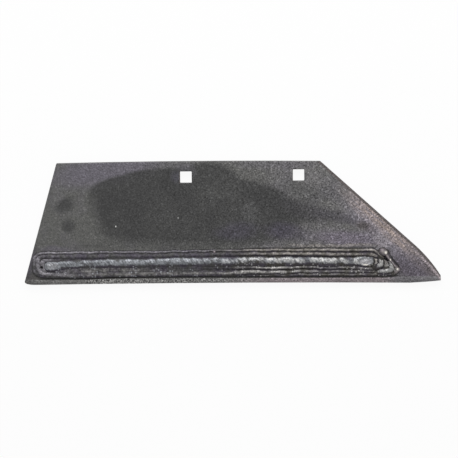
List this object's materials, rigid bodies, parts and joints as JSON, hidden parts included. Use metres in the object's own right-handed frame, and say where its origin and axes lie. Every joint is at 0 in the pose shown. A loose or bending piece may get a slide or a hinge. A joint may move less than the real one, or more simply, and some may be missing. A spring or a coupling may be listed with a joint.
{
  "type": "plough share",
  "caption": "Flat trapezoid plough share with a slanted wing end, a pointed nose, square bolt holes near the upper edge and layered hardfacing weld along its cutting edge.",
  "frame": {"origin": "midway between the two square bolt holes, on the flat back face", "axes": "+X along the share towards the nose tip, +Y towards the bolted edge, +Z out of the hardfaced working face"},
  "size_m": [0.514, 0.1525, 0.0153],
  "materials": {
    "scaled_steel": "hot-rolled, quenched steel under dark grey mill scale, with a faint brown tint along the nose edge",
    "weld_metal": "as-welded hardfacing, silvery crown and dark scaled rows with fine ripples"
  },
  "bodies": {
    "root": {"share_plate": "scaled_steel", "hardfacing_weld": "weld_metal"}
  },
  "joints": []
}
